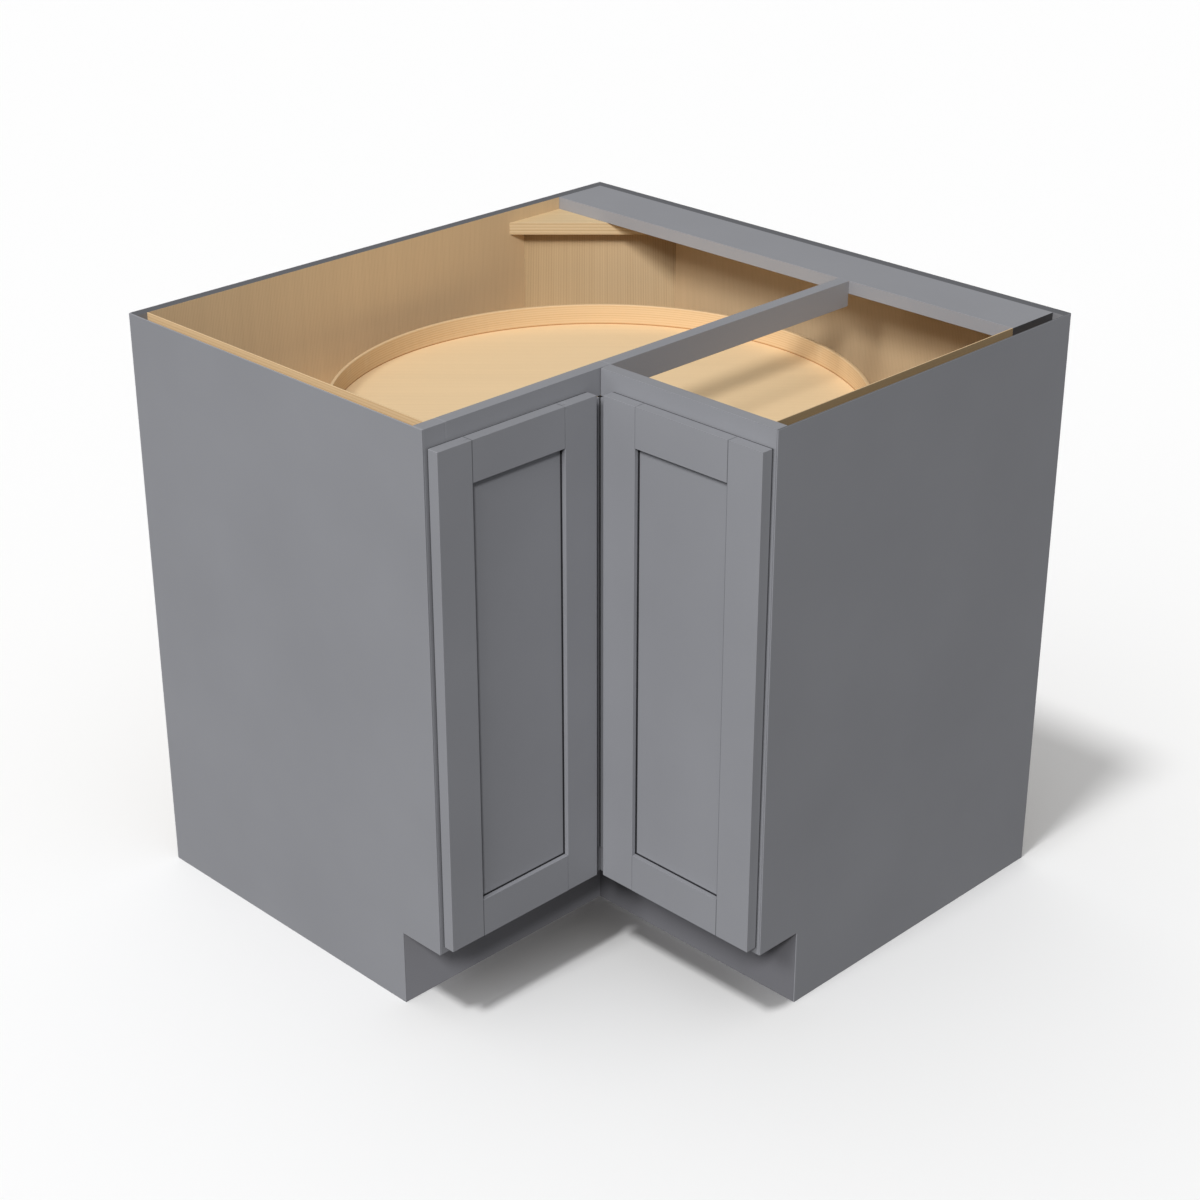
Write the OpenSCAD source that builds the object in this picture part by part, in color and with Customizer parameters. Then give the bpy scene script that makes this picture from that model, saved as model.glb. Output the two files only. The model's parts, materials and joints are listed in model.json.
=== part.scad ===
// Corner base cabinet with two carousel trays behind a pair of folding doors.
//
// Plan distances are measured from the room corner that the two back panels fill:
// u runs along one wall and v along the other, and a piece of the second wing is the
// first wing's piece with u and v exchanged. in_room() sets that plan into the part's
// own frame: origin on the floor under the middle of the plan, +Z up, the first wing's
// door facing +X and the second wing's door facing -Y.

/* [Cabinet] */
// Length of each wing along its wall
wing_length = 914.4; // [880:0.1:950]
// Depth of each wing, from the wall to the front of the face frame
wing_depth = 609.6; // [590:0.1:625]
// Height of the cabinet without a worktop
cabinet_height = 876.3; // [850:0.1:900]
// Thickness of the plywood core of a side
side_core_thickness = 17.05; // [15:0.05:19]
// Distance from the cabinet's top down to the core of a side
side_core_drop = 19.05; // [14:0.05:25]
// Thickness of the wooden lining on a side
side_lining_thickness = 2; // [1.5:0.1:3]
// Thickness of the painted skin on a side
side_skin_thickness = 2; // [1.5:0.1:3]
// Thickness of a back panel
back_thickness = 15.9; // [12:0.1:19]
// Thickness of the floor, the fixed shelf and the toe boards
board_thickness = 15.9; // [12:0.1:19]

/* [Face frame] */
// Thickness of the face frame and the rail behind it
frame_thickness = 19.05; // [17:0.05:22]
// Width of each face frame member
frame_width = 38.1; // [35:0.1:42]
// Width of the open seam in the face frame's inner corner
corner_seam = 1.5; // [0.8:0.1:2]
// Depth of that seam
corner_seam_depth = 4; // [2:0.5:6]
// Height of the toe recess
toe_height = 114.3; // [95:0.1:125]
// Depth of the toe recess
toe_setback = 76.2; // [60:0.1:90]

/* [Top and corner] */
// Width of the flat stretcher at the back
stretcher_width = 92; // [80:1:105]
// Thickness of the stretcher
stretcher_thickness = 19.05; // [16:0.05:22]
// Side of the corner gusset along each wall
gusset_leg = 200; // [185:1:220]
// Thickness of the gusset
gusset_thickness = 19.05; // [16:0.05:22]
// Wall that the slanted corner panel cuts off
corner_leg = 169; // [150:1:180]
// Thickness of the slanted corner panel
corner_panel_thickness = 12.7; // [9:0.1:16]

/* [Shelf and cleats] */
// Distance from the cabinet's top down to the fixed shelf
shelf_drop = 192.3; // [170:0.1:280]
// Distance from the face frame's back to the front of the fixed shelf
shelf_setback = 30.55; // [15:0.05:50]
// Thickness of a cleat
cleat_thickness = 19; // [15:0.5:22]
// Height of a cleat
cleat_height = 38; // [25:1:50]

/* [Carousel] */
// Gap between a tray and the back panels
tray_clearance = 60.3; // [50:0.1:75]
// Half the angle that a tray's notch opens
notch_half_angle = 55; // [50:1:60]
// Distance from the axis to the notch
notch_apex = 85; // [75:1:100]
// Radius at the bottom of the notch
notch_radius = 120; // [100:1:140]
// Radius of a tray's lobes
lobe_radius = 45; // [30:1:60]
// Thickness of a tray's floor
tray_floor_thickness = 12; // [11:0.5:15]
// Height of a tray's rim, from the underside of its floor
rim_height = 43; // [35:0.5:55]
// Thickness of the rim
rim_thickness = 5; // [4:0.5:8]
// Radius of the riser under a bearing
riser_radius = 80; // [77:1:100]
// Thickness of the riser
riser_thickness = 19; // [15:0.5:22]
// Radius of a bearing plate
bearing_radius = 76.2; // [75:0.1:80]
// Thickness of a bearing plate
bearing_plate_thickness = 3; // [2:0.1:3.5]
// Radius of the ring of balls
ball_ring_radius = 66; // [62:0.5:67]
// Radius of a ball
ball_radius = 4; // [3.5:0.1:4.5]
// Number of balls in a bearing
ball_count = 30; // [18:1:36]
// Radius of the ring of screws that hold a bearing plate
screw_ring_radius = 42; // [35:1:48]
// Number of screws in a ring
screw_count = 6; // [3:1:8]
// Radius of the hole in the middle of a bearing plate
bearing_bore_radius = 20; // [10:1:25]

/* [Doors] */
// Thickness of a door
door_thickness = 19.05; // [18:0.05:22]
// Distance from the cabinet's top to a door's upper edge
door_top_reveal = 25.3; // [20:0.1:32]
// Distance from the face frame's lower edge to a door's
door_bottom_reveal = 12.7; // [8:0.1:16]
// Gap between a door's outer edge and the cabinet's side
door_reveal = 5.4; // [4:0.1:8]
// Distance from the face frame's inner corner to a door's inner edge
corner_gap = 26.1; // [24.5:0.1:29]
// Gap between a door's back and the face frame
door_gap = 1.6; // [1.4:0.1:2]
// Width of a door's stiles and rails
door_frame_width = 57; // [50:0.5:65]
// Thickness of a door's panel
door_panel_thickness = 6.4; // [5:0.1:8]
// Depth of the panel's groove
groove_depth = 9; // [6:0.5:12]
// Distance from a door's face back to its panel
panel_recess = 8.5; // [7:0.1:10]
// Open gap between the panel's face and the front of its groove
panel_gap = 1.6; // [0.5:0.1:2.5]

/* [Fold between the doors] */
// Thickness of a mullion strip
strip_thickness = 6; // [5.6:0.1:7]
// Width of a mullion strip
strip_width = 52; // [45:1:60]
// Radius of the hinge's knuckles
knuckle_radius = 3.4; // [3.2:0.1:3.6]
// Radius of the hinge's pin
pin_radius = 1.5; // [1:0.1:2]
// Thickness of a hinge leaf
leaf_thickness = 1; // [0.8:0.1:1.2]
// Width of a hinge leaf beyond its knuckles
leaf_width = 28; // [20:1:35]
// Number of knuckles
knuckle_count = 13; // [7:2:19]

/* [Door hinges] */
// Radius of a hinge cup
cup_radius = 17.4; // [17:0.1:17.5]
// Depth of a hinge cup
cup_depth = 12; // [11:0.1:13]
// Wall of a hinge cup
cup_wall = 1.4; // [1:0.1:1.6]
// Distance from a cup's middle to the door's edge
cup_inset = 22.5; // [21.5:0.1:24]
// Distance from a door's end to its hinge
hinge_inset = 90; // [70:1:110]

/* [Screws] */
// Radius of a screw
screw_radius = 2; // [1.5:0.1:2.2]
// Length of a screw
screw_length = 12; // [10:0.5:13]

/* [Hidden] */

$fn = 96;
paint = [0.55, 0.56, 0.58];
dark_paint = [0.3, 0.3, 0.31];
plywood = [0.85, 0.7, 0.5];
tray_wood = [0.93, 0.79, 0.6];
steel = [0.7, 0.7, 0.72];
rubber = [0.85, 0.85, 0.85];

// Cuts run this far past the solids that they cut
past = 1;
// Running gap between pieces that move past each other
running_gap = 0.3;

// Sides: a lining, a core and a skin
side_core_outer = wing_length - side_skin_thickness;
side_core_inner = side_core_outer - side_core_thickness;
side_inner = side_core_inner - side_lining_thickness;
frame_back = wing_depth - frame_thickness;
stile_inner = wing_length - frame_width;
toe_front = wing_depth - toe_setback;
toe_back = toe_front - board_thickness;
floor_top = toe_height + frame_width;
floor_bottom = floor_top - board_thickness;
top_rail_bottom = cabinet_height - frame_width;
stretcher_bottom = cabinet_height - stretcher_thickness;
stretcher_front = back_thickness + stretcher_width;
gusset_bottom = stretcher_bottom - gusset_thickness;
shelf_top = cabinet_height - shelf_drop;
shelf_bottom = shelf_top - board_thickness;
shelf_depth = frame_back - shelf_setback;
cleat_gap = 1;

// Carousel: a bearing is two plates with balls between them
carousel_centre = wing_length / 2;
tray_radius = carousel_centre - back_thickness - tray_clearance;
ball_clearance = 0.1;
bearing_top_start = bearing_plate_thickness + 2 * ball_radius + ball_clearance;
bearing_height = bearing_top_start + bearing_plate_thickness;
race_width = 3;
race_height = ball_radius;
tray_rise = riser_thickness + bearing_height;

// Screws
screw_head_radius = 2 * screw_radius;
screw_head_height = 1.6;
screw_clearance = 0.05;

// Doors
door_back = wing_depth + door_gap;
door_front = door_back + door_thickness;
door_inner = wing_depth + corner_gap;
door_outer = wing_length - door_reveal;
door_bottom = toe_height + door_bottom_reveal;
door_top = cabinet_height - door_top_reveal;
panel_front = door_front - panel_recess;
panel_back = panel_front - door_panel_thickness;
groove_clearance = 0.2;
groove_walls = [panel_back - groove_clearance, panel_front + panel_gap];
tongue_walls = [panel_back, groove_walls[1] - groove_clearance];
rail_start = door_inner + door_frame_width;
rail_end = door_outer - door_frame_width;
hinge_heights = [door_bottom + hinge_inset, door_top - hinge_inset];

// Fold between the doors: its axis is in the middle of the square between the strips
fold_axis = door_back - strip_thickness / 2;
strip_back = door_back - strip_thickness;
strip_start = fold_axis + knuckle_radius + running_gap;
strip_end = wing_depth + strip_width;
strip_margin = 1.5;
strip_bottom = floor_top + strip_margin;
strip_top = top_rail_bottom - strip_margin;
knuckle_pitch = (strip_top - strip_bottom) / knuckle_count;
pin_clearance = 0.1;

// Door hinges
cup_centre = door_outer - cup_inset;
cup_inner_radius = cup_radius - cup_wall;
cup_clearance = 0.1;
cup_flange = 1;
flange_width = 40;
flange_height = 50;
plate_thickness = 2.5;
plate_height = 50;
plate_depth = 14;
arm_half_height = 5;
arm_width = 5.8;
arm_reach = 8;
plate_screw_spacing = 36;
bumper_radius = 5;
bumper_gap = 0.3;
bumper_inset = 15;

module in_room() {
    translate([-wing_length / 2, wing_length / 2, 0]) rotate([0, 0, -90]) children();
}

// The second wing is the first with u and v exchanged
module wing(second) {
    in_room() {
        if (second) mirror([1, -1, 0]) children();
        else children();
    }
}

// A block from its limits along u, v and z
module block(u, v, z) {
    translate([u[0], v[0], z[0]]) cube([u[1] - u[0], v[1] - v[0], z[1] - z[0]]);
}

// ---- Carcass ----

// The room for the toe, in front of the given depth
module toe_cut(front) {
    block([side_inner - past, wing_length + past], [front, wing_depth + past], [-past, toe_height]);
}

// The core stops below the lining and the skin, which leaves a channel between them
module side_core(second) {
    color(plywood) wing(second) difference() {
        block([side_core_inner, side_core_outer], [back_thickness, frame_back],
            [0, cabinet_height - side_core_drop]);
        toe_cut(toe_back);
    }
}

module side_lining(second) {
    color(plywood) wing(second) difference() {
        block([side_inner, side_core_inner], [back_thickness, frame_back], [0, cabinet_height]);
        toe_cut(toe_back);
        // Only the second wing's side meets the stretcher, in a notch at its back
        if (second) block([side_inner - past, side_core_inner + past],
            [back_thickness - past, stretcher_front], [stretcher_bottom, cabinet_height + past]);
    }
}

module side_skin(second) {
    color(paint) wing(second) difference() {
        block([side_core_outer, wing_length], [0, wing_depth], [0, cabinet_height]);
        toe_cut(toe_front);
    }
}

module back_panel(second) {
    start = second ? back_thickness : 0;
    color(plywood) wing(second)
        block([start, side_core_outer], [0, back_thickness], [0, cabinet_height]);
}

// A triangle or a slanted band in the room corner, between two legs along the walls
module corner_prism(leg_near, leg_far, z) {
    b = back_thickness;
    near = leg_near > 0 ? [[b, b + leg_near], [b + leg_near, b]] : [[b, b]];
    in_room() translate([0, 0, z[0]]) linear_extrude(z[1] - z[0])
        polygon(concat(near, [[b + leg_far, b], [b, b + leg_far]]));
}

module corner_back_panel() {
    color(plywood)
        corner_prism(corner_leg - corner_panel_thickness * sqrt(2), corner_leg, [floor_top, gusset_bottom]);
}

module corner_gusset() {
    color(plywood) corner_prism(0, gusset_leg, [gusset_bottom, stretcher_bottom]);
}

// Its end is flush with the outside of the second wing's lining
module back_stretcher() {
    color(paint) in_room() block([back_thickness, stretcher_front], [back_thickness, side_core_inner],
        [stretcher_bottom, cabinet_height]);
}

module cross_rail() {
    color(paint) in_room()
        block([stretcher_front, frame_back], [frame_back, wing_depth], [top_rail_bottom, cabinet_height]);
}

// A rail of the face frame: the first wing's runs through to the inner corner, and the
// second wing's butts against its face there, with an open seam at the front
module frame_rail(second, bottom) {
    color(paint) wing(second) difference() {
        block([second ? wing_depth : frame_back, stile_inner], [frame_back, wing_depth],
            [bottom, bottom + frame_width]);
        if (second) block([wing_depth - past, wing_depth + corner_seam],
            [wing_depth - corner_seam_depth, wing_depth + past], [bottom - past, bottom + frame_width + past]);
    }
}

module frame_stile(second) {
    color(paint) wing(second) difference() {
        block([stile_inner, side_core_outer], [frame_back, wing_depth], [toe_height, cabinet_height]);
        if (second) hinge_screw_places() screw_hole();
    }
}

// The plan of the cabinet's inside, out to the distances that its wings reach
module inside_plan(reach, depth, corner) {
    b = back_thickness;
    cut = corner > 0 ? [[b, b + corner], [b + corner, b]] : [[b, b]];
    polygon(concat(cut, [[reach, b], [reach, depth], [depth, depth], [depth, reach], [b, reach]]));
}

module bottom_panel() {
    color(plywood) in_room() translate([0, 0, floor_bottom]) linear_extrude(board_thickness)
        inside_plan(side_inner, frame_back, 0);
}

module fixed_shelf() {
    color(plywood) in_room() translate([0, 0, shelf_bottom]) linear_extrude(board_thickness)
        inside_plan(side_inner, shelf_depth, corner_leg);
}

// Four strips against the walls and sides, under a panel, that stop short of each other
module cleats(top, start, depth) {
    z = [top - cleat_height, top];
    inner = back_thickness + cleat_thickness;
    for (second = [false, true]) color(plywood) wing(second) {
        block([second ? max(start, inner + cleat_gap) : start, side_inner], [back_thickness, inner], z);
        block([side_inner - cleat_thickness, side_inner], [inner + cleat_gap, depth], z);
    }
}

module bottom_cleats() {
    cleats(floor_bottom, back_thickness, toe_back);
}

module shelf_cleats() {
    cleats(shelf_bottom, back_thickness + corner_leg, shelf_depth);
}

// A toe board's end laps over the side's lining and core, up to the skin
module toe_board(second) {
    color(dark_paint) wing(second) {
        block([second ? toe_front : toe_back, side_inner], [toe_back, toe_front], [0, floor_bottom]);
        block([side_inner - past, side_core_outer], [toe_back, toe_front], [0, toe_height]);
    }
}

// ---- Carousel ----

// A carousel piece is drawn about the carousel's axis, from the height that it stands on
module on_carousel(base) {
    in_room() translate([carousel_centre, carousel_centre, base]) rotate([0, 0, 45]) children();
}

function arc(centre, radius, from, to, step = 3) =
    let (n = ceil(abs(to - from) / step))
    [for (i = [0:n]) let (t = from + (to - from) * i / n) centre + radius * [cos(t), sin(t)]];

// A tray's outline, taken in by inset: a circle with a notch that faces +X, whose two
// lobes are rounded. The lobes' middles stay where they are at any inset.
function tray_outline(inset) =
    let (
        h = notch_half_angle,
        notch_middle = notch_apex + notch_radius,
        off = [-sin(h), cos(h)],
        along = [cos(h), sin(h)],
        foot = [notch_middle, 0] + (notch_radius + lobe_radius) * off,
        reach = tray_radius - lobe_radius,
        s = -foot * along + sqrt(pow(foot * along, 2) - foot * foot + reach * reach),
        lobe = foot + s * along,
        turn = atan2(lobe[1], lobe[0]),
        r = lobe_radius - inset
    )
    concat(
        arc([0, 0], tray_radius - inset, turn, 360 - turn),
        arc([lobe[0], -lobe[1]], r, -turn, 90 - h, 10),
        arc([notch_middle, 0], notch_radius + inset, 270 - h, 90 + h, 5),
        arc(lobe, r, h - 90, turn, 10)
    );

module riser(surface) {
    color(plywood) on_carousel(surface) difference() {
        cylinder(r = riser_radius, h = riser_thickness);
        translate([0, 0, riser_thickness + bearing_plate_thickness]) screw_ring() screw_hole();
    }
}

// A flat ring that stands on z = 0
module ring(inner, outer, height) {
    difference() {
        cylinder(r = outer, h = height);
        translate([0, 0, -past]) cylinder(r = inner, h = height + 2 * past);
    }
}

module bearing_plate() {
    difference() {
        ring(bearing_bore_radius, bearing_radius, bearing_plate_thickness);
        translate([0, 0, bearing_plate_thickness]) screw_ring() screw_hole();
    }
}

// The base's race is inside the ring of balls
module bearing_base(surface) {
    race_outer = ball_ring_radius - ball_radius - running_gap;
    color(steel) on_carousel(surface + riser_thickness) {
        bearing_plate();
        translate([0, 0, bearing_plate_thickness])
            ring(race_outer - race_width, race_outer, race_height);
    }
}

module bearing_balls(surface) {
    color(steel) on_carousel(surface + riser_thickness + bearing_plate_thickness + ball_radius)
        for (i = [0:ball_count - 1]) rotate([0, 0, i * 360 / ball_count])
            translate([ball_ring_radius, 0, 0]) sphere(r = ball_radius, $fn = 24);
}

// The top's race is outside the ring of balls
module bearing_top(surface) {
    race_inner = ball_ring_radius + ball_radius + running_gap;
    color(steel) on_carousel(surface + riser_thickness + bearing_top_start) {
        bearing_plate();
        translate([0, 0, -race_height]) ring(race_inner, race_inner + race_width, race_height);
    }
}

module screw_ring() {
    for (i = [0:screw_count - 1]) rotate([0, 0, i * 360 / screw_count])
        translate([screw_ring_radius, 0, 0]) children();
}

// A screw hole down from z = 0, and the screw that sits in it with its head above
module screw_hole() {
    translate([0, 0, -screw_length - screw_clearance])
        cylinder(r = screw_radius + screw_clearance, h = screw_length + screw_clearance + past);
}

module screw() {
    translate([0, 0, -screw_length]) cylinder(r = screw_radius, h = screw_length + screw_head_height / 2);
    cylinder(r = screw_head_radius, h = screw_head_height);
}

module bearing_screws(surface) {
    color(steel) on_carousel(surface + riser_thickness + bearing_plate_thickness) screw_ring() screw();
}

// The tray's screws go up through the bearing's top plate, with their heads below it
module under_tray_floor() {
    translate([0, 0, -bearing_plate_thickness]) mirror([0, 0, 1]) screw_ring() children();
}

module tray_screws(surface) {
    color(steel) on_carousel(surface + tray_rise) under_tray_floor() screw();
}

module tray_floor(surface) {
    color(tray_wood) on_carousel(surface + tray_rise) difference() {
        linear_extrude(tray_floor_thickness) polygon(tray_outline(rim_thickness));
        under_tray_floor() screw_hole();
    }
}

module tray_rim(surface) {
    color(tray_wood) on_carousel(surface + tray_rise) linear_extrude(rim_height) difference() {
        polygon(tray_outline(0));
        polygon(tray_outline(rim_thickness));
    }
}

// ---- Doors ----

module outer_stile(second) {
    color(paint) wing(second) difference() {
        block([rail_end, door_outer], [door_back, door_front], [door_bottom, door_top]);
        block([rail_end - past, rail_end + groove_depth], groove_walls,
            [door_bottom - past, door_top + past]);
        if (second) hinge_places() cup_axis() translate([0, 0, -past])
            cylinder(r = cup_radius + cup_clearance, h = cup_depth + cup_clearance + past);
    }
}

module inner_stile(second) {
    color(paint) wing(second) difference() {
        block([door_inner, rail_start], [door_back, door_front], [door_bottom, door_top]);
        block([rail_start - groove_depth, rail_start + past], groove_walls,
            [door_bottom - past, door_top + past]);
    }
}

// A rail, with a tongue at each end in the stiles' grooves and a groove along one edge
module door_rail(second, bottom, groove_top) {
    groove = groove_top ? [bottom + door_frame_width - groove_depth, bottom + door_frame_width + past]
        : [bottom - past, bottom + groove_depth];
    hold = groove_depth - groove_clearance;
    z = [bottom, bottom + door_frame_width];
    color(paint) wing(second) difference() {
        union() {
            block([rail_start, rail_end], [door_back, door_front], z);
            block([rail_start - hold, rail_end + hold], tongue_walls, z);
        }
        block([rail_start - hold - past, rail_end + hold + past], groove_walls, groove);
    }
}

module door_panel(second) {
    hold = groove_depth - groove_clearance;
    color(paint) wing(second)
        block([rail_start - hold, rail_end + hold], [panel_back, panel_front],
            [door_bottom + door_frame_width - hold, door_top - door_frame_width + hold]);
}

// ---- Fold between the doors ----

module mullion_strip(second) {
    color(paint) wing(second)
        block([strip_start, strip_end], [strip_back, door_back], [strip_bottom, strip_top]);
}

// A leaf lies on its strip's back; it holds every other knuckle, from the given one on
module fold_hinge_leaf(second, first_knuckle) {
    leaf = [strip_back - leaf_thickness, strip_back];
    color(steel) wing(second) difference() {
        union() {
            block([strip_start, strip_start + leaf_width], leaf, [strip_bottom, strip_top]);
            for (i = [first_knuckle:2:knuckle_count - 1]) {
                bottom = strip_bottom + i * knuckle_pitch + running_gap;
                height = knuckle_pitch - 2 * running_gap;
                block([fold_axis, strip_start + past], leaf, [bottom, bottom + height]);
                translate([fold_axis, fold_axis, bottom]) cylinder(r = knuckle_radius, h = height);
            }
        }
        translate([fold_axis, fold_axis, strip_bottom - past])
            cylinder(r = pin_radius + pin_clearance, h = strip_top - strip_bottom + 2 * past);
    }
}

module fold_hinge_pin() {
    color(steel) in_room() translate([fold_axis, fold_axis, strip_bottom])
        cylinder(r = pin_radius, h = strip_top - strip_bottom);
}

// ---- Door hinges: on the second wing, whose door is hung on the cabinet ----

module hinge_places() {
    for (z = hinge_heights) translate([0, 0, z]) children();
}

// From the door's back into the door
module cup_axis() {
    translate([cup_centre, door_back, 0]) rotate([-90, 0, 0]) children();
}

module hinge_cups() {
    color(steel) wing(true) hinge_places() difference() {
        union() {
            cup_axis() cylinder(r = cup_radius, h = cup_depth);
            translate([cup_centre - flange_width / 2, door_back - cup_flange, -flange_height / 2])
                cube([flange_width, cup_flange, flange_height]);
        }
        cup_axis() translate([0, 0, -cup_flange - past])
            cylinder(r = cup_inner_radius, h = cup_depth - cup_wall + cup_flange + past);
    }
}

module hinge_plates() {
    color(steel) wing(true) difference() {
        hinge_places() block([stile_inner - plate_thickness, stile_inner],
            [frame_back + running_gap, frame_back + plate_depth], [-plate_height / 2, plate_height / 2]);
        hinge_screw_places() screw_hole();
    }
}

// An arm is held by its plate and steps round it into the cup
module hinge_arms() {
    // Half the width that the round cup leaves at the arm's upper and lower edges
    cup_room = sqrt(pow(cup_inner_radius, 2) - pow(arm_half_height, 2));
    rear = [stile_inner - plate_thickness - arm_width, stile_inner - plate_thickness];
    front = [cup_centre - cup_room + running_gap, stile_inner - running_gap];
    z = [-arm_half_height, arm_half_height];
    color(steel) wing(true) hinge_places() {
        block(rear, [frame_back + running_gap, wing_depth], z);
        block([rear[0], front[1]], [frame_back + plate_depth, wing_depth], z);
        block(front, [wing_depth - past, door_back + arm_reach], z);
    }
}

// Screws go through a plate into the stile's edge
module hinge_screw_places() {
    hinge_places() for (side = [-1, 1])
        translate([stile_inner - plate_thickness, frame_back + plate_depth / 2,
            side * plate_screw_spacing / 2]) rotate([0, -90, 0]) children();
}

module hinge_plate_screws() {
    color(steel) wing(true) hinge_screw_places() screw();
}

module door_bumpers() {
    color(rubber) wing(false) for (z = [door_bottom + bumper_inset, door_top - bumper_inset])
        translate([door_outer - bumper_inset, wing_depth + bumper_gap, z]) rotate([-90, 0, 0])
            cylinder(r = bumper_radius, h = door_gap - bumper_gap);
}

side_core(false);  // side_core_left
side_core(true);  // side_core_right
side_lining(false);  // side_lining_left
side_lining(true);  // side_lining_right
side_skin(false);  // side_skin_left
side_skin(true);  // side_skin_right
back_panel(false);  // back_panel_left
back_panel(true);  // back_panel_right
corner_back_panel();
corner_gusset();
back_stretcher();
cross_rail();
frame_rail(false, top_rail_bottom);  // frame_top_rail_left
frame_rail(true, top_rail_bottom);  // frame_top_rail_right
frame_stile(false);  // frame_stile_left
frame_stile(true);  // frame_stile_right
frame_rail(false, toe_height);  // frame_bottom_rail_left
frame_rail(true, toe_height);  // frame_bottom_rail_right
bottom_panel();
bottom_cleats();
toe_board(false);  // toe_board_left
toe_board(true);  // toe_board_right
fixed_shelf();
shelf_cleats();
riser(floor_top);  // riser_lower
riser(shelf_top);  // riser_upper
bearing_base(floor_top);  // bearing_base_lower
bearing_base(shelf_top);  // bearing_base_upper
bearing_balls(floor_top);  // bearing_balls_lower
bearing_balls(shelf_top);  // bearing_balls_upper
bearing_screws(floor_top);  // bearing_screws_lower
bearing_screws(shelf_top);  // bearing_screws_upper
bearing_top(floor_top);  // bearing_top_lower
bearing_top(shelf_top);  // bearing_top_upper
tray_screws(floor_top);  // tray_screws_lower
tray_screws(shelf_top);  // tray_screws_upper
tray_floor(floor_top);  // tray_floor_lower
tray_floor(shelf_top);  // tray_floor_upper
tray_rim(floor_top);  // tray_rim_lower
tray_rim(shelf_top);  // tray_rim_upper
hinge_plates();
hinge_arms();
hinge_plate_screws();
hinge_cups();
outer_stile(true);  // door_right_outer_stile
inner_stile(true);  // door_right_inner_stile
door_rail(true, door_top - door_frame_width, false);  // door_right_top_rail
door_rail(true, door_bottom, true);  // door_right_bottom_rail
door_panel(true);  // door_right_panel
outer_stile(false);  // door_left_outer_stile
inner_stile(false);  // door_left_inner_stile
door_rail(false, door_top - door_frame_width, false);  // door_left_top_rail
door_rail(false, door_bottom, true);  // door_left_bottom_rail
door_panel(false);  // door_left_panel
mullion_strip(true);  // mullion_strip_right
mullion_strip(false);  // mullion_strip_left
fold_hinge_leaf(true, 0);  // fold_hinge_leaf_right
fold_hinge_leaf(false, 1);  // fold_hinge_leaf_left
fold_hinge_pin();
door_bumpers();
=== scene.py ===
"""Looks of a corner carousel cabinet: materials, softened edges, floor, light and camera."""

import json
import math

import bpy
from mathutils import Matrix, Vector


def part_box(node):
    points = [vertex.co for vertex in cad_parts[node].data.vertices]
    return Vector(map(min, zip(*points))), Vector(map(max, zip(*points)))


# Camera: it looks down through a long lens at the corner between the doors, towards the room's corner
CAMERA_PLACE = (2.19057, -2.19057, 1.94389)
CAMERA_PITCH = math.radians(25.9175)
CAMERA_LENS = 71.15
CAMERA_SENSOR = 36

# Light: soft suns, each with where it shines from, its strength and how wide it looks in degrees
OBJECT_SUNS = {
    "key": ((0.9, -1.1, 1.2), 1.75, 9),
    "second": ((0.4, -1.3, 1.0), 0.42, 12),
    "front": ((0.1, -1.2, 1.0), 0.93, 12),
    "left": ((-0.7, -1.0, 0.5), 0.25, 30),
}
# The photo's floor has shadows of its own, from almost straight above
FLOOR_SUNS = {
    "floor_key": ((0.03, -0.45, 1.0), 1.55, 8),
    "floor_soft": ((-0.35, -0.35, 1.0), 1.3, 130),
}
SUN_DISTANCE = 4
SKY_ABOVE = 0.254
SKY_BELOW = 0.10
# Half the height of the band, around the horizon, in which the sky goes from one to the other
SKY_BLEND = 0.1
FLOOR_SIZE = 30.0

# Surface colours, as sRGB levels
PAINT = (147, 148, 153)
# Painted shade: the grey of the back panels' top edges, darker than the carcass paint
EDGE_GREY_WITH_PAINTED_SHADE = (100, 101, 105)
# Painted shade: the dark line in the slot around each door's panel
SLOT_PAINTED_SHADE = (52, 52, 55)
JOINT_PAINT = (108, 109, 113)
# Painted shade: the dark line near each door's back, where the gap to the frame is
GAP_PAINTED_SHADE = (78, 79, 82)
# The three walls are one plywood in three tones: painted light and painted shade for how light falls on each
# wall
LEFT_WALL = (214, 188, 150)
LEFT_WALL_LINES = (200, 172, 136)
RIGHT_WALL = (193, 168, 134)
RIGHT_WALL_LINES = (178, 154, 120)
CORNER_WALL = (186, 161, 125)
CORNER_WALL_LINES = (164, 138, 103)
GUSSET_WOOD = (224, 198, 156)
GUSSET_LINES = (200, 170, 126)
TRAY_WOOD = (241, 212, 169)
TRAY_LINES = (236, 206, 162)
RIM_WOOD = (221, 191, 150)
RIM_LINES = (208, 174, 130)
RIM_JOINT = (176, 128, 82)
BOARD_WOOD = (220, 190, 148)
BOARD_LINES = (205, 172, 128)
STEEL = (196, 198, 202)
NICKEL = (205, 200, 190)
DARK_STEEL = (52, 52, 54)
BUMPER = (225, 225, 225)
FLOOR = (246, 246, 246)

# Colours of single faces, picked so that they look as in the photo under the scene's light
# The toe boards are one paint: the left one's paler tone is painted light and the right one's darker tone
# painted shade
LEFT_TOE_PAINT_WITH_PAINTED_LIGHT = (152, 152, 158)
RIGHT_TOE_PAINT_WITH_PAINTED_SHADE = (118, 118, 123)
# Painted shade: the grey of the back panels beyond the linings, darker than the carcass paint, in the narrow
# channel
CHANNEL_GREY_WITH_PAINTED_SHADE = (128, 129, 133)
# Painted shade: the stretcher's right end, dark where it faces into the side's channel
STRETCHER_END_PAINTED_SHADE = (66, 66, 69)
# Painted shade: the right skin's top edge, darker than its paint elsewhere
SKIN_TOP_PAINTED_SHADE = (106, 107, 111)
# Painted shade: the right lining's face towards the channel, darker than its wood elsewhere
LINING_SIDE_PAINTED_SHADE = (150, 130, 100)
# The gusset's front is its own wood times this
GUSSET_FRONT = (235, 235, 238)

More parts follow.
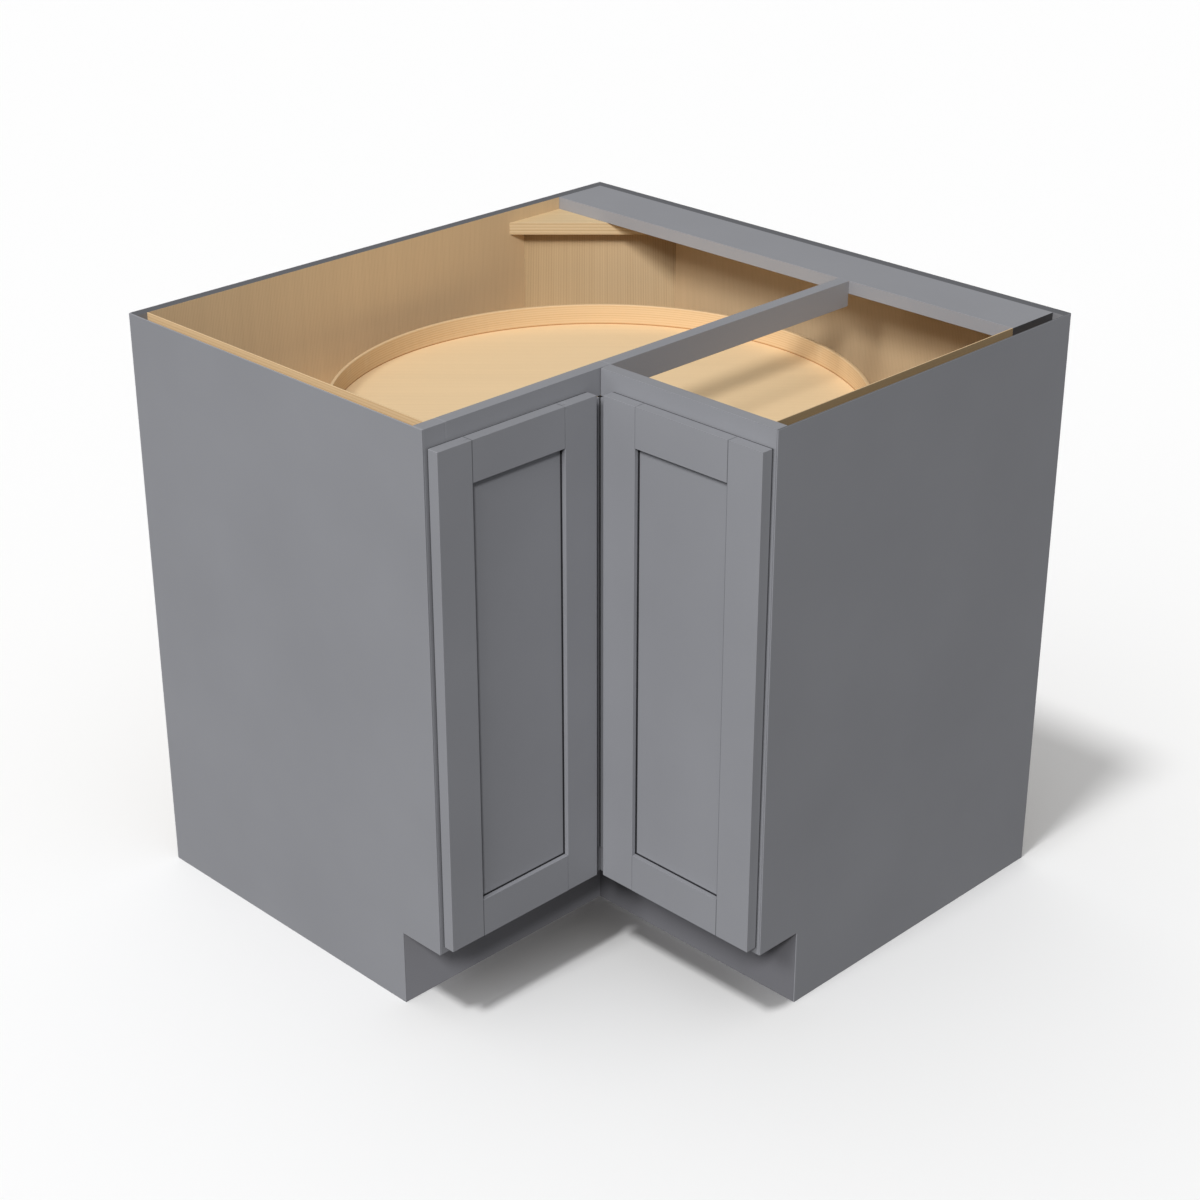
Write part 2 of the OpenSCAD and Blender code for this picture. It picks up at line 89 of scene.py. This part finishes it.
# Finishes
PAINT_ROUGHNESS = 0.5
TOE_ROUGHNESS = 0.6
WOOD_ROUGHNESS = 0.5
COAT_SPECULAR = 0.3
STEEL_ROUGHNESS = 0.35
NICKEL_ROUGHNESS = 0.28
DARK_STEEL_ROUGHNESS = 0.6
DARK_STEEL_METALLIC = 0.3
RUBBER_ROUGHNESS = 0.3
RUBBER_CLEARNESS = 0.6
FLOOR_ROUGHNESS = 0.9

# How much a surface's own shades differ, as a share, and where on the noise the darker and the paler one lie
PAINT_SPREAD = 0.03
WOOD_SPREAD = 0.02
METAL_SPREAD = 0.08
DARKER_AT = 0.3
PALER_AT = 0.7

# Sizes of what the surfaces show, in metres
WALL_LINE_SPACING = 0.0026
RIM_LINE_SPACING = 0.0037
GUSSET_LINE_SPACING = 0.0048
TRAY_LINE_SPACING = 0.006
BOARD_LINE_SPACING = 0.004
LINE_LENGTH = 0.5
LINE_DEPTH = 0.00006
STREAK_WIDTH = 0.03
PAINT_BLOTCH = 0.2
PEEL_SIZE = 0.0018
PEEL_DEPTH = 0.00005
BRUSH_WIDTH = 0.0006
BRUSH_LENGTH = 0.03
BRUSH_DEPTH = 0.00002
RUBBER_GRAIN = 0.001
RUBBER_DEPTH = 0.00002
PAINT_OVERLAP = 0.0012
# How high the dark joint reaches above the tray's floor, and how far the doors' lines, of painted shade and
# dark joints, reach to each side
JOINT_HEIGHT = 0.0014
SLOT_SHADE_REACH = 0.0016
JOINT_REACH = 0.0007
BACK_SHADE_LINE_REACH = 0.001
# How far in front of a door's back its line of painted shade lies, where the gap to the frame is
BACK_SHADE_LINE_INSET = 0.0014

# The fine lines, in shares of their spacing: how far they wander, and how wide wandering and fading are
LINE_WANDER = 0.8
WANDER_WIDTH = 6
FADING_WIDTH = 2
# Where on the wave a line starts and is full, where on the noise it is faded and whole, and what fading leaves
LINE_START = -0.1
LINE_FULL = 0.9
FADED_AT = 0.25
UNFADED_AT = 0.65
FADED_SHARE = 0.35

# Softened edges, in metres. A slot that isn't here keeps its edges
EDGE_ROUNDING = {
    "grey_paint": 0.0008,
    "toe_paint": 0.0008,
    "plywood": 0.0006,
    "tray_wood": 0.0012,
    "nickel": 0.0003,
}
EDGE_ANGLE = math.radians(30)
EDGE_SEGMENTS = 2
WELD_DISTANCE = 0.00001

# Directions. A single face is picked by them as it stands in the room
EAST = (1, 0, 0)
WEST = (-1, 0, 0)
NORTH = (0, 1, 0)
SOUTH = (0, -1, 0)
UP = (0, 0, 1)
DIAGONAL = math.sqrt(0.5)
ALONG_CORNER = (DIAGONAL, DIAGONAL, 0)
INTO_CORNER = (-DIAGONAL, DIAGONAL, 0)
OUT_OF_CORNER = (DIAGONAL, -DIAGONAL, 0)
# The least that a normal shares with a direction that its surface faces
FACING_LEAST = 0.5
# Steps in this direction put lines on a level top and on an upright front alike
INTO_CORNER_AND_UP = (-DIAGONAL, DIAGONAL, 1)


# ---------------------------------------------------------------- shader helpers

def linear(levels):
    """The scene-linear RGBA colour of three sRGB levels from 0 to 255."""
    shares = [level / 255 for level in levels]
    return [s / 12.92 if s <= 0.04045 else ((s + 0.055) / 1.055) ** 2.4 for s in shares] + [1.0]


def add(tree, kind, settings=None, **inputs):
    """A new shader node. An input takes a value, or another node's output."""
    made = tree.nodes.new(kind)
    for name, value in (settings or {}).items():
        setattr(made, name, value)
    for name, value in inputs.items():
        socket = made.inputs[int(name[1:]) if name[0] == "_" else name.replace("_", " ")]
        if isinstance(value, bpy.types.NodeSocket):
            tree.links.new(value, socket)
        else:
            socket.default_value = value
    return made


def new_material(name, roughness, metallic=0.0, specular=0.5):
    """A material with one Principled shader, its tree, that shader and the place on the piece."""
    material = bpy.data.materials.new(name)
    material.use_nodes = True
    tree = material.node_tree
    surface = tree.nodes["Principled BSDF"]
    surface.inputs["Roughness"].default_value = roughness
    surface.inputs["Metallic"].default_value = metallic
    surface.inputs["Specular IOR Level"].default_value = specular
    place = add(tree, "ShaderNodeTexCoord").outputs["Object"]
    return material, tree, surface, place


def math_node(tree, operation, first, second=0.0):
    """The result of one calculation with one or two values."""
    return add(tree, "ShaderNodeMath", {"operation": operation}, _0=first, _1=second).outputs[0]


def distance(tree, place, direction):
    """How far the place is along a direction, in metres."""
    dot = add(tree, "ShaderNodeVectorMath", {"operation": "DOT_PRODUCT"}, _0=place, _1=direction)
    return dot.outputs["Value"]


def map_range(tree, value, start, end, least=0.0):
    """From the least at the start to 1 at the end, and level beyond them."""
    made = add(tree, "ShaderNodeMapRange", Value=value, From_Min=start, From_Max=end, To_Min=least)
    return made.outputs[0]


def noise(tree, place, size, detail):
    """Even blotches of about that size, from 0 to 1."""
    return add(tree, "ShaderNodeTexNoise", Vector=place, Scale=1 / size, Detail=detail).outputs["Fac"]


def streaks(tree, place, across, along, width, length=LINE_LENGTH):
    """Long uneven streaks, from 0 to 1: about that width one way and that length the other way."""
    sideways = math_node(tree, "DIVIDE", distance(tree, place, across), width)
    endways = math_node(tree, "DIVIDE", distance(tree, place, along), length)
    stretched = add(tree, "ShaderNodeCombineXYZ", X=sideways, Y=endways).outputs[0]
    return add(tree, "ShaderNodeTexNoise", Vector=stretched, Scale=1.0, Detail=2.0).outputs["Fac"]


def lines(tree, place, across, along, spacing):
    """Straight fine lines that far apart: 0 between them, and up to 1 on them."""
    drift = streaks(tree, place, across, along, WANDER_WIDTH * spacing)
    wander = math_node(tree, "MULTIPLY", drift, LINE_WANDER)
    steps = math_node(tree, "DIVIDE", distance(tree, place, across), spacing)
    turns = math_node(tree, "MULTIPLY", math_node(tree, "ADD", steps, wander), 2 * math.pi)
    wave = math_node(tree, "COSINE", turns)
    line = map_range(tree, wave, LINE_START, LINE_FULL)
    faded = streaks(tree, place, across, along, FADING_WIDTH * spacing)
    return math_node(tree, "MULTIPLY", line, map_range(tree, faded, FADED_AT, UNFADED_AT, FADED_SHARE))


def ramp(tree, factor, *stops):
    """A colour that goes from stop to stop, each a share from 0 to 1 and an RGBA colour."""
    made = add(tree, "ShaderNodeValToRGB", Fac=factor)
    elements = made.color_ramp.elements
    for index, (share, colour) in enumerate(stops):
        element = elements[index] if index < 2 else elements.new(share)
        element.position = share
        element.color = colour
    return made.outputs["Color"]


def mix(tree, factor, first, second, blend="MIX"):
    """Two colours mixed by a factor. With MULTIPLY, the factor goes from the first to both multiplied."""
    settings = {"data_type": "RGBA", "blend_type": blend}
    return add(tree, "ShaderNodeMix", settings, _0=factor, _6=first, _7=second).outputs[2]


def shaded(tree, factor, levels, spread):
    """A colour that goes from its darker to its paler shade with the factor."""
    colour = linear(levels)[:3]
    darker = [c * (1 - spread) for c in colour] + [1]
    paler = [c * (1 + spread) for c in colour] + [1]
    return ramp(tree, factor, (DARKER_AT, darker), (PALER_AT, paler))


def roughen(tree, surface, height, depth):
    """Gives the surface a bump of that depth, in metres. A depth below 0 sinks it."""
    bump = add(tree, "ShaderNodeBump", Strength=1.0, Distance=depth, Height=height)
    tree.links.new(bump.outputs["Normal"], surface.inputs["Normal"])


# ---------------------------------------------------------------- materials

def paint_material(name, levels, roughness=PAINT_ROUGHNESS):
    """Satin paint on wood: a faint unevenness in colour and a fine orange peel."""
    material, tree, surface, place = new_material(name, roughness, specular=COAT_SPECULAR)
    colour = shaded(tree, noise(tree, place, PAINT_BLOTCH, 3.0), levels, PAINT_SPREAD)
    tree.links.new(colour, surface.inputs["Base Color"])
    roughen(tree, surface, noise(tree, place, PEEL_SIZE, 1.0), PEEL_DEPTH)
    return material


def lined_wood(name, wood, line_levels, across, along, spacing):
    """Clear-coated wood with fine straight lines."""
    material, tree, surface, place = new_material(name, WOOD_ROUGHNESS, specular=COAT_SPECULAR)
    ground = shaded(tree, streaks(tree, place, across, along, STREAK_WIDTH), wood, WOOD_SPREAD)
    grain = lines(tree, place, across, along, spacing)
    colour = mix(tree, grain, ground, linear(line_levels))
    tree.links.new(colour, surface.inputs["Base Color"])
    roughen(tree, surface, grain, -LINE_DEPTH)
    return material


def board_wood(name, across, along):
    """The wood of plain boards, with its lines running along."""
    return lined_wood(name, BOARD_WOOD, BOARD_LINES, across, along, BOARD_LINE_SPACING)


def overpaint(material, levels, where, blend="MIX"):
    """The same material with another colour, or its own times that, where the mask made by where() is 1."""
    tree = material.node_tree
    base = tree.nodes["Principled BSDF"].inputs["Base Color"]
    place = tree.nodes["Texture Coordinate"].outputs["Object"]
    colour = base.links[0].from_socket
    tree.links.new(mix(tree, where(tree, place), colour, linear(levels), blend), base)
    return material


def facing(tree, direction):
    """1 where the surface faces that way in the room, and 0 elsewhere. It is for pieces that stay put."""
    normal = add(tree, "ShaderNodeNewGeometry").outputs["Normal"]
    return math_node(tree, "GREATER_THAN", distance(tree, normal, direction), FACING_LEAST)


def darker_side(material, direction, levels, blend="MIX"):
    """The same material with another colour, or its own times that, where it faces one way."""
    return overpaint(material, levels, lambda tree, place: facing(tree, direction), blend)


def back_panel_wood(name, wood, line_levels, across, outward, lining):
    """Lined wood, painted grey on its top edge and where it is outside the side's lining, both greys darker
    than the carcass paint as painted shade.
    """
    material = lined_wood(name, wood, line_levels, across, UP, WALL_LINE_SPACING)

    def outside(tree, place):
        return math_node(tree, "GREATER_THAN", distance(tree, place, outward), lining - PAINT_OVERLAP)

    # Grey with painted shade beyond the lining and on the top edge
    return darker_side(overpaint(material, CHANNEL_GREY_WITH_PAINTED_SHADE, outside), UP, EDGE_GREY_WITH_PAINTED_SHADE)


def rim_wood(name, floor_node):
    """Lined wood with a dark joint where it meets the tray's floor."""
    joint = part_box(floor_node)[1].z + JOINT_HEIGHT

    def below_joint(tree, place):
        return math_node(tree, "LESS_THAN", distance(tree, place, UP), joint)

    return overpaint(
        lined_wood(name, RIM_WOOD, RIM_LINES, UP, ALONG_CORNER, RIM_LINE_SPACING), RIM_JOINT, below_joint)


def joint_and_shade_lined_paint(name, *scores):
    """Paint with dark lines, for painted shade in slots and gaps and for dark joints: each a direction, a
    place along it, its reach to each side and its colour.
    """
    material = paint_material(name, PAINT)
    for direction, at, reach, levels in scores:

        def on_line(tree, place):
            offset = math_node(tree, "SUBTRACT", distance(tree, place, direction), at)
            return math_node(tree, "LESS_THAN", math_node(tree, "ABSOLUTE", offset), reach)

        overpaint(material, levels, on_line)
    return material


def door_paints(side, along, behind):
    """The paints of a door's pieces: painted shade in the slot around the panel and on a line near the back,
    where the gap to the frame is, and dark lines at the joints.
    """
    axis = along.index(1)
    stiles = sorted((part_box(f"door_{side}_{stile}_stile") for stile in ("outer", "inner")),
                    key=lambda stile: stile[0][axis])
    ends = (stiles[0][1][axis], stiles[1][0][axis])
    heights = (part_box(f"door_{side}_bottom_rail")[1].z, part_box(f"door_{side}_top_rail")[0].z)
    back = max(Vector(behind).dot(corner) for corner in stiles[0])
    # A line of painted shade near the door's back, where the gap to the frame is
    back_shade_line = (behind, back - BACK_SHADE_LINE_INSET, BACK_SHADE_LINE_REACH, GAP_PAINTED_SHADE)
    # Lines of painted shade in the slot around the panel
    slot_shade_lines = [(along, end, SLOT_SHADE_REACH, SLOT_PAINTED_SHADE) for end in ends]
    slot_shade_lines += [(UP, height, SLOT_SHADE_REACH, SLOT_PAINTED_SHADE) for height in heights]
    joints = [(along, end, JOINT_REACH, JOINT_PAINT) for end in ends]
    rail = joint_and_shade_lined_paint(f"{side}_rail_paint", back_shade_line, *joints)
    return {
        f"door_{side}_panel": joint_and_shade_lined_paint(f"{side}_panel_paint", *slot_shade_lines),
        f"door_{side}_top_rail": rail,
        f"door_{side}_bottom_rail": rail,
        f"door_{side}_outer_stile": joint_and_shade_lined_paint(f"{side}_outer_stile_paint", back_shade_line, *joints),
        f"door_{side}_inner_stile": joint_and_shade_lined_paint(f"{side}_inner_stile_paint", back_shade_line),
    }


def metal_material(name, levels, roughness, metallic=1.0):
    """Plated metal with a fine brushed unevenness."""
    material, tree, surface, place = new_material(name, roughness, metallic)
    brushed = streaks(tree, place, UP, ALONG_CORNER, BRUSH_WIDTH, BRUSH_LENGTH)
    tree.links.new(shaded(tree, brushed, levels, METAL_SPREAD), surface.inputs["Base Color"])
    roughen(tree, surface, brushed, BRUSH_DEPTH)
    return material


def rubber_material(name, levels):
    """Clear soft bumper."""
    material, tree, surface, place = new_material(name, RUBBER_ROUGHNESS)
    surface.inputs["Base Color"].default_value = linear(levels)
    surface.inputs["Transmission Weight"].default_value = RUBBER_CLEARNESS
    roughen(tree, surface, noise(tree, place, RUBBER_GRAIN, 1.0), RUBBER_DEPTH)
    return material


# ---------------------------------------------------------------- the scene

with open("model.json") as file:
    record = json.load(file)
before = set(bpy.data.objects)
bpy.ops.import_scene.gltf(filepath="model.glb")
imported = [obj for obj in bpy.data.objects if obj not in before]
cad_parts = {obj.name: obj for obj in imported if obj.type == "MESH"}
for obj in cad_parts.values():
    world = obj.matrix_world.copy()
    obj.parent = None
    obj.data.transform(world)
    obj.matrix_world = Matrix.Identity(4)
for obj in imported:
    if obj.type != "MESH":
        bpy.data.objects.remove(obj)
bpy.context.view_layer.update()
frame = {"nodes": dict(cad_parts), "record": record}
nodes = frame["nodes"]
lining_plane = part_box("side_core_right")[0].x

of_slot = {
    "grey_paint": paint_material("paint", PAINT),
    # Painted light: the left toe board's paler paint
    "toe_paint": paint_material("toe_paint", LEFT_TOE_PAINT_WITH_PAINTED_LIGHT, TOE_ROUGHNESS),
    "plywood": board_wood("board_wood", INTO_CORNER, ALONG_CORNER),
    "tray_wood": lined_wood("tray_wood", TRAY_WOOD, TRAY_LINES, INTO_CORNER, ALONG_CORNER, TRAY_LINE_SPACING),
    "steel": metal_material("steel", STEEL, STEEL_ROUGHNESS),
    "nickel": metal_material("nickel", NICKEL, NICKEL_ROUGHNESS),
    "dark_steel": metal_material("dark_steel", DARK_STEEL, DARK_STEEL_ROUGHNESS, DARK_STEEL_METALLIC),
    "bumper": rubber_material("bumper", BUMPER),
}
left_side_wood = board_wood("left_side_wood", UP, EAST)
right_lining_wood_with_painted_shade = board_wood("right_lining_wood_with_painted_shade", UP, NORTH)
gusset_wood = lined_wood(
    "gusset_wood", GUSSET_WOOD, GUSSET_LINES, INTO_CORNER_AND_UP, ALONG_CORNER, GUSSET_LINE_SPACING)
of_node = {
    # Painted shade: the right toe board's darker paint
    "toe_board_right": paint_material("right_toe_paint_with_painted_shade", RIGHT_TOE_PAINT_WITH_PAINTED_SHADE, TOE_ROUGHNESS),
    "side_core_left": left_side_wood,
    "side_core_right": board_wood("right_side_wood", UP, NORTH),
    "side_lining_left": left_side_wood,
    # Painted shade on the right lining's face towards the channel
    "side_lining_right": darker_side(right_lining_wood_with_painted_shade, EAST, LINING_SIDE_PAINTED_SHADE),
    # Painted shade on the right skin's top edge
    "side_skin_right": darker_side(paint_material("right_skin_paint_with_painted_shade", PAINT), UP, SKIN_TOP_PAINTED_SHADE),
    # Painted shade on the stretcher's right end
    "back_stretcher": darker_side(paint_material("stretcher_paint_with_painted_shade", PAINT), EAST, STRETCHER_END_PAINTED_SHADE),
    # The walls' wood tones carry painted light and painted shade
    "back_panel_left": back_panel_wood(
        "left_wall_wood_with_painted_light_and_shade", LEFT_WALL, LEFT_WALL_LINES, NORTH, SOUTH, lining_plane),
    "back_panel_right": back_panel_wood(
        "right_wall_wood_with_painted_light_and_shade", RIGHT_WALL, RIGHT_WALL_LINES, EAST, EAST, lining_plane),
    "corner_back_panel": lined_wood(
        "corner_wall_wood_with_painted_light_and_shade", CORNER_WALL, CORNER_WALL_LINES, ALONG_CORNER, UP, WALL_LINE_SPACING),
    "corner_gusset": darker_side(gusset_wood, OUT_OF_CORNER, GUSSET_FRONT, "MULTIPLY"),
    "tray_rim_lower": rim_wood("lower_rim_wood", "tray_floor_lower"),
    "tray_rim_upper": rim_wood("upper_rim_wood", "tray_floor_upper"),
    **door_paints("left", NORTH, WEST),
    **door_paints("right", EAST, NORTH),
}

for part in frame["record"]["subparts"]:
    piece = nodes[part["node"]]
    slot = part["material_slot"]
    piece.data.materials.clear()
    piece.data.materials.append(of_node.get(part["node"], of_slot[slot]))
    weld = piece.modifiers.new("weld", "WELD")
    weld.merge_threshold = WELD_DISTANCE
    if slot in EDGE_ROUNDING:
        bevel = piece.modifiers.new("soft_edges", "BEVEL")
        bevel.width = EDGE_ROUNDING[slot]
        bevel.segments = EDGE_SEGMENTS
        bevel.limit_method = "ANGLE"
        bevel.angle_limit = EDGE_ANGLE
        bevel.harden_normals = True

bpy.ops.mesh.primitive_plane_add(size=FLOOR_SIZE, location=(0, 0, 0))
floor = bpy.context.object
floor.name = "floor"
floor_material, _, floor_surface, _ = new_material("floor", FLOOR_ROUGHNESS, specular=0.0)
floor_surface.inputs["Base Color"].default_value = linear(FLOOR)
floor.data.materials.append(floor_material)
# The light that the floor would throw up comes from the sky below instead, so that it can be dimmer
floor.visible_diffuse = False
floor.visible_glossy = False

floor_only = bpy.data.collections.new("floor_only")
floor_only.objects.link(floor)
all_but_floor = bpy.data.collections.new("all_but_floor")
all_but_floor.objects.link(floor)
all_but_floor.collection_objects[0].light_linking.link_state = "EXCLUDE"
for suns, lit in ((OBJECT_SUNS, all_but_floor), (FLOOR_SUNS, floor_only)):
    for name, (source, strength, width) in suns.items():
        light = bpy.data.lights.new(name, "SUN")
        light.energy = strength
        light.angle = math.radians(width)
        lamp = bpy.data.objects.new(name, light)
        lamp.location = Vector(source) * SUN_DISTANCE
        lamp.rotation_euler = (-Vector(source)).to_track_quat("-Z", "Y").to_euler()
        lamp.light_linking.receiver_collection = lit
        bpy.context.scene.collection.objects.link(lamp)

sky = bpy.data.worlds.new("sky")
sky.use_nodes = True
sky_tree = sky.node_tree
sky_direction = add(sky_tree, "ShaderNodeTexCoord").outputs["Generated"]
sky_height = add(sky_tree, "ShaderNodeSeparateXYZ", Vector=sky_direction).outputs["Z"]
sky_share = map_range(sky_tree, sky_height, -SKY_BLEND, SKY_BLEND)
sky_colour = ramp(sky_tree, sky_share, (0.0, [SKY_BELOW] * 3 + [1]), (1.0, [SKY_ABOVE] * 3 + [1]))
sky_tree.links.new(sky_colour, sky_tree.nodes["Background"].inputs["Color"])
bpy.context.scene.world = sky
bpy.context.scene.view_settings.view_transform = "Standard"

lens = bpy.data.cameras.new("camera")
lens.lens = CAMERA_LENS
lens.sensor_width = CAMERA_SENSOR
camera = bpy.data.objects.new("camera", lens)
camera.location = CAMERA_PLACE
forward = math.cos(CAMERA_PITCH)
looking = Vector((-DIAGONAL * forward, DIAGONAL * forward, -math.sin(CAMERA_PITCH)))
camera.rotation_euler = looking.to_track_quat("-Z", "Y").to_euler()
bpy.context.scene.collection.objects.link(camera)
bpy.context.scene.camera = camera
